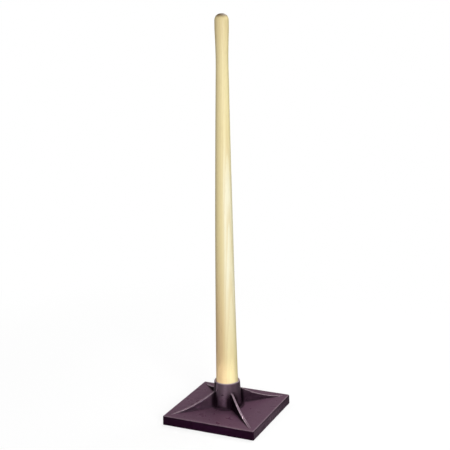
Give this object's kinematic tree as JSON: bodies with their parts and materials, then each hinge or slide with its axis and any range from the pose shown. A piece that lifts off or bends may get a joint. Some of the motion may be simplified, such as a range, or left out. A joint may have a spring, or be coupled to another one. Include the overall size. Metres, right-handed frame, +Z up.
{
  "type": "hand tamper",
  "caption": "Hand tamper for packing earth: a square cast-iron head with corner ribs and a tapered socket on a long turned wooden handle with a knob end.",
  "frame": {"origin": "centre of the flat sole, where the handle's axis meets the ground", "axes": "+Z up along the handle's axis, X and Y parallel to the square head's sides; the retaining screw is on the +Y side"},
  "size_m": [0.254, 0.254, 1.032],
  "materials": {
    "head_iron": "sand-cast surface under one thin coat of plum-black paint, satin, rubbed thinner along the ribs and the plate's edges",
    "handle_wood": "pale straight-grained ash, sanded smooth, thin clear lacquer, end grain of the knob darker",
    "screw_steel": "bright zinc-plated steel, slightly dulled"
  },
  "bodies": {
    "root": {"tamper_head": "head_iron", "handle": "handle_wood", "retaining_screw": "screw_steel"}
  },
  "joints": []
}
